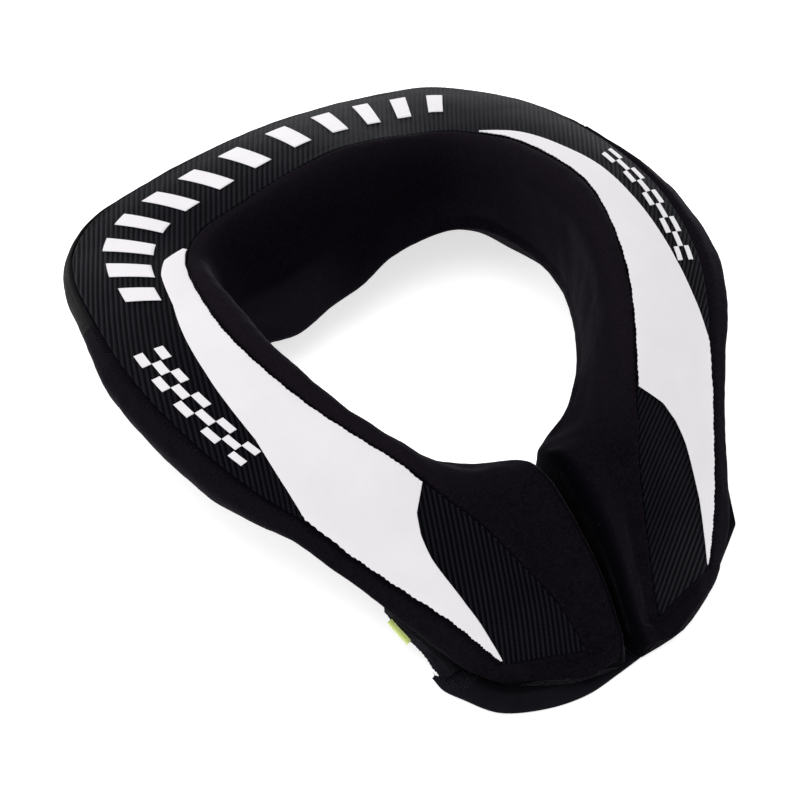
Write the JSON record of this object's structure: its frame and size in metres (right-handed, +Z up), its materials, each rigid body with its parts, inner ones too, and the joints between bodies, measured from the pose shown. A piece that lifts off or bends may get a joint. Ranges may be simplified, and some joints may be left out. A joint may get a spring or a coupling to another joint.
{
  "type": "soft neck collar",
  "caption": "Soft foam neck collar for motocross: horseshoe with a ribbed top, white side panels, fleece inside, a slit at the front and a hook-and-loop closure under it.",
  "frame": {"origin": "middle of the bounding box at the surface it rests on", "axes": "+Z up, the wearer's front and the slit at -Y, the back of the neck at +Y, the wearer's left at +X"},
  "size_m": [0.2696, 0.3247, 0.0884],
  "materials": {
    "fleece": "brushed black fleece",
    "rib_cloth": "fine ribbed black textile",
    "smooth_film": "satin white",
    "rear_cloth": "smooth black cloth",
    "hook_loop": "hook-and-loop tape",
    "lime_ribbon": "woven ribbon"
  },
  "bodies": {
    "root": {"collar_body": "fleece", "top_panel": "rib_cloth", "rear_wall_band": "rear_cloth", "film_panel_left": "smooth_film", "film_panel_right": "smooth_film", "closure_strap": "hook_loop", "loop_patch": "hook_loop", "side_tab": "lime_ribbon"}
  },
  "joints": []
}
